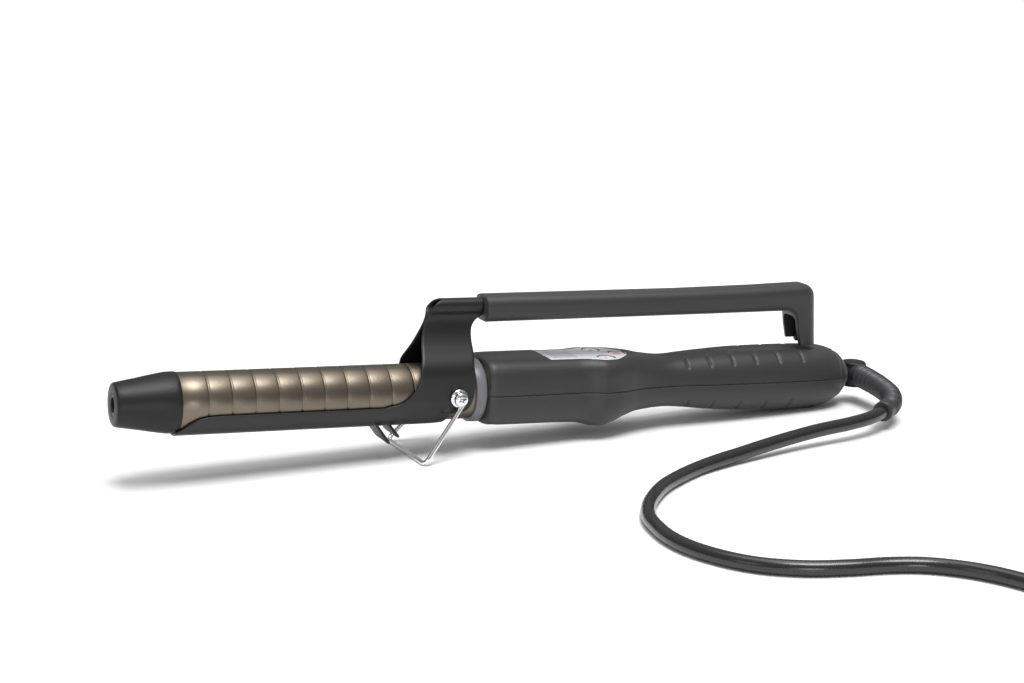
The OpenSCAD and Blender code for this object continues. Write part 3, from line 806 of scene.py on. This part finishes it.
def add_buttons():
    for name, (x, y) in BUTTONS.items():
        cap = Build()
        turned(cap, [(12.4, 0), (12.4, 3.65), (13.7, 3.65), (13.88, 3.56), (13.94, 3.38), (13.92, 3.1),
                     (13.82, 2.4), (13.76, 1.4), (13.74, 0)], (x, y, 0), "z", 64, False)
        piece(name + "_cap", cap, name + "_key", "button_plastic", "button_" + name, angle=35)
        mark = Build()
        bars = {"plus": [(1.5, 0.26), (0.26, 1.5)], "minus": [(0.26, 1.5)], "power": [(0.75, 0.2)]}
        for a, b in bars[name]:
            shift = 0.9 if name == "power" else 0
            ring = rounded([(-a, -b), (a, -b), (a, b), (-a, b)], [0.18] * 4, 3)
            mark.stack([[(x + shift + p.x, y + p.y, z) for p in ring] for z in (13.6, 13.87)])
        if name == "power":
            arc = [(x + 1.5 * math.cos(t), y + 1.5 * math.sin(t), 13.78)
                   for t in np.linspace(math.radians(42), math.radians(318), 40)]
            swept(mark, arc, [0.2] * 40, 10)
        piece(name + "_mark", mark, name + "_key", "button_plastic", finish="button_mark", angle=35)


# ---------------------------------------------------------------- tail, relief and lead
CORD_R = 3.0
RELIEF_ROUTE = [
    (209, -6, 13), (209, -15, 12.4), (208.5, -25, 11.4),
    (206.5, -35, 10.3), (200.5, -44.5, 9.2), (191, -52, 8.5),
]
CORD_ROUTE = [
    (191, -52, 8.5), (181, -57, 8), (168, -60, 7.5), (152, -62, 7),
    (136, -64.5, 6), (120, -68, 5), (106, -71.5, 4), (94, -75, 3.5),
    (82, -79.5, 3), (69, -87, 3), (56, -96.5, 3), (45, -108, 3),
    (37, -119, 3), (31, -131, 3), (28, -143, 3), (26.5, -155, 3),
    (27, -166, 3), (30, -178, 3), (36, -190.5, 3), (44, -200, 3),
    (56, -208, 3), (70, -213, 3), (84, -216.5, 3), (96, -222, 3),
    (106, -231, 3), (113, -241, 3), (118, -252, 3), (122, -263, 3),
    (127, -277, 3), (132, -290, 3),
]
COIL_AT = Vector((182, -287, 0))
COIL_OUTER = 48.0
COIL_TURNS = 4
COIL_START = math.radians(200.4)
PLUG_AT = Vector((230, -252, 6.85))
KNUCKLE = (209.2, 0, 0)


def add_knuckle():
    joint = Build()
    turned(joint, [(196.5, 0), (196.5, 5.1), (203.4, 5.1), (203.6, 4.9), (207, 4.9), (207, 0)],
           sides=64, closed=False)
    turned(joint, [(-5.9, 0), (-5.9, 4.9), (-5.6, 5.5), (-5.0, 5.85), (-4.3, 5.98), (4.3, 5.98),
                   (5.0, 5.85), (5.6, 5.5), (5.9, 4.9), (5.9, 0)], KNUCKLE, "z", 72, False)
    piece("knuckle", joint, "iron", "tip_plastic", "swivel_knuckle", angle=35)


def add_relief():
    """A tapering ribbed sleeve, open at its mouth around the lead."""
    path = smooth_path([(209.1, -2.5, 13)] + RELIEF_ROUTE, 30)
    run, length = [0.0], length_of(path)
    for a, b in zip(path, path[1:]):
        run.append(run[-1] + (b - a).length)
    radii = []
    for d in run:
        base = 5.6 - 1.0 * d / length
        rib = 0.5 - 0.5 * math.cos(2 * math.pi * d / 1.8)
        ribbed = ease((d - 5) / 1.0) * ease((length - 4 - d) / 1.0)
        radii.append(base - 0.5 * ribbed * (1 - rib) ** 0.8)
    last = path[-1]
    ahead = (path[-1] - path[-2]).normalized()
    path = path[:-1] + [last - ahead * 0.3, last, last - ahead * 0.05, last - ahead * 4]
    radii = radii[:-1] + [4.6, 4.35, 3.3, 3.05]
    sleeve = Build()
    swept(sleeve, path, radii, 48)
    piece("relief", sleeve, "iron", "relief_rubber", "strain_relief", place=ON_TABLE, angle=50)


def coil_points(per_turn=36):
    """In along the table, once round while it climbs, and out again on top."""
    pitch = 2 * CORD_R
    turns_in, climb = COIL_TURNS, 1
    end = 2 * COIL_TURNS + climb + (2 * math.pi - COIL_START) / (2 * math.pi)
    steps = int(end * per_turn)
    out = []
    for k in range(steps + 1):
        turn = end * k / steps
        inward = min(turn, turns_in) * pitch
        outward = max(0.0, min(turn - turns_in - climb, COIL_TURNS)) * pitch
        rise = ease((turn - turns_in) / climb)
        radius = COIL_OUTER - inward + outward
        angle = COIL_START + 2 * math.pi * turn
        out.append(COIL_AT + Vector((radius * math.cos(angle), radius * math.sin(angle),
                                     CORD_R + pitch * rise)))
    return out


def cord_line():
    """The whole lead: from the relief along the table, through the coil and to the plug."""
    lead_out = [COIL_AT + Vector((COIL_OUTER, 12, 3 * CORD_R)),
                COIL_AT + Vector((COIL_OUTER, 24, 2.5 * CORD_R)), PLUG_AT + Vector((0, 2, 0))]
    return smooth_path(CORD_ROUTE) + coil_points() + lead_out


def add_plug():
    """A flat two-pole plug: a waisted body and two pins with sleeves at their roots."""
    body = Build()
    rows = []
    for y, wide, high, n in ((0, 3.6, 3.6, 2), (0, 4.3, 4.3, 2), (0.6, 4.6, 4.6, 2), (6, 4.9, 4.8, 2),
                             (9.5, 6.0, 5.2, 2.2), (12, 9.0, 5.8, 2.5), (14, 13.0, 6.3, 2.8),
                             (16, 15.6, 6.6, 3.2), (19, 17.0, 6.8, 3.6), (24, 17.5, 6.85, 3.8),
                             (31, 17.3, 6.75, 3.8), (33.2, 16.9, 6.4, 3.8), (33.9, 16.2, 5.8, 3.8),
                             (34, 15.4, 5.2, 3.8)):
        ring = []
        for k in range(64):
            t = 2 * math.pi * k / 64
            c, s = math.cos(t), math.sin(t)
            ring.append(PLUG_AT + Vector((wide * math.copysign(abs(c) ** (2 / n), c), y,
                                          high * math.copysign(abs(s) ** (2 / n), s))))
        rows.append(ring)
    body.stack(rows)
    plug = piece("plug", body, "iron", "plug_plastic", "plug_body", place=ON_TABLE, angle=45)
    pins, sleeves = Build(), Build()
    for side in (-9.5, 9.5):
        at = PLUG_AT + Vector((side, 34, 0))
        turned(pins, [(-3, 0), (-3, 1.5), (10, 1.5), (10, 2), (17.2, 2), (18.3, 1.7), (18.85, 1.1),
                      (19, 0)], at, "y", 40, False)
        turned(sleeves, [(-0.5, 1.52), (-0.5, 1.95), (9.8, 1.95), (10, 1.85), (10, 1.52)], at, "y", 40)
    metal = piece("pins", pins, "iron", "brass_nickel", "plug_pins", place=ON_TABLE, angle=40)
    guard = piece("pin_sleeves", sleeves, "iron", "plug_plastic", place=ON_TABLE, angle=40)
    return [plug, metal, guard]


def add_cord(plug_pieces):
    line = [ON_TABLE @ p for p in cord_line()]
    data = bpy.data.curves.new("mains_lead", "CURVE")
    data.dimensions = "3D"
    spline = data.splines.new("POLY")
    spline.points.add(len(line) - 1)
    for point, place in zip(spline.points, line):
        point.co = (*place, 1)
    data.bevel_depth = CORD_R / 1000
    data.bevel_resolution = 6
    data.use_fill_caps = True
    data.materials.append(FINISH["cord_pvc"])
    lead = bpy.data.objects.new("mains_lead", data)
    bpy.context.scene.collection.objects.link(lead)
    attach(lead, "iron")
    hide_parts("cord_tube", "cord_coil", "plug_lead")


# ---------------------------------------------------------------- inner parts and studio
INNER = {
    "heater_core": "ceramic", "heater_sleeve": "aluminium", "temperature_sensor": "brass",
    "pivot_bush": "steel", "lever_arm": "clamp_paint", "handle_screws": "steel",
    "lcd_module": "tip_plastic", "circuit_board": "board", "button_pad": "pad_rubber",
    "inner_leads": "lead_sleeve", "cable_clamp": "tip_plastic",
}


def paint_inner_parts():
    """Gives the parts carried over from the frame their own finishes."""
    for node, slot in INNER.items():
        obj = frame["nodes"][node]
        obj.data.materials.clear()
        obj.data.materials.append(FINISH[slot])


def area_light(name, at, aim, size, power):
    data = bpy.data.lights.new(name, "AREA")
    data.shape, data.size, data.size_y = "RECTANGLE", size[0], size[1]
    data.energy = power
    lamp = bpy.data.objects.new(name, data)
    lamp.location = at
    lamp.rotation_euler = (Vector(aim) - Vector(at)).to_track_quat("-Z", "Y").to_euler()
    bpy.context.scene.collection.objects.link(lamp)


def add_studio():
    """A disc of white paper, a sky brighter overhead, a soft sun and three panels of light."""
    bpy.context.scene.view_settings.view_transform = "Standard"
    world = bpy.data.worlds.new("studio")
    bpy.context.scene.world = world
    world.use_nodes = True
    nodes, links = world.node_tree.nodes, world.node_tree.links
    sky = nodes["Background"]
    sky.inputs["Strength"].default_value = 0.42
    place = nodes.new("ShaderNodeTexCoord")
    split = nodes.new("ShaderNodeSeparateXYZ")
    ramp = nodes.new("ShaderNodeValToRGB")
    ramp.color_ramp.elements[0].position, ramp.color_ramp.elements[0].color = 0.0, (0.4, 0.4, 0.41, 1)
    ramp.color_ramp.elements[1].position, ramp.color_ramp.elements[1].color = 1.0, (1.5, 1.5, 1.5, 1)
    links.new(place.outputs["Generated"], split.inputs["Vector"])
    links.new(split.outputs["Z"], ramp.inputs["Fac"])
    links.new(ramp.outputs["Color"], sky.inputs["Color"])
    floor = Build()
    floor.stack([[(6 * math.cos(t), 6 * math.sin(t), z) for t in
                  (2 * math.pi * k / 96 for k in range(96))] for z in (0, -0.02)])
    stage = raw_object("floor", floor, Matrix.Translation((0, 1.5, 0)))
    paper = material("paper", (0.93, 0.93, 0.93), 0.6, grain=60, bump=0.0, vary=0.005, spec=0.2)
    stage.data.materials.append(paper)
    data = bpy.data.lights.new("ceiling", "SUN")
    data.energy, data.angle = 2.5, math.radians(30)
    ceiling = bpy.data.objects.new("ceiling", data)
    ceiling.rotation_euler = (math.radians(15), math.radians(2), 0)
    bpy.context.scene.collection.objects.link(ceiling)
    area_light("key", (0.02, 0.15, 1.1), (0.02, 0.0, 0), (0.9, 0.6), 3)
    area_light("fill", (-1.1, -0.55, 0.45), (0.0, 0.0, 0.02), (0.5, 0.5), 1.0)
    area_light("front", (-0.3, -1.1, 0.12), (0.03, 0.0, 0.03), (0.3, 0.2), 1.5)


add_camera()
add_barrel()
add_tip()
add_collar()
add_clamp()
add_clip()
add_stand()
add_pivot_screws()
add_grip()
add_handle()
add_panel()
add_buttons()
add_knuckle()
add_relief()
add_cord(add_plug())
paint_inner_parts()
add_studio()
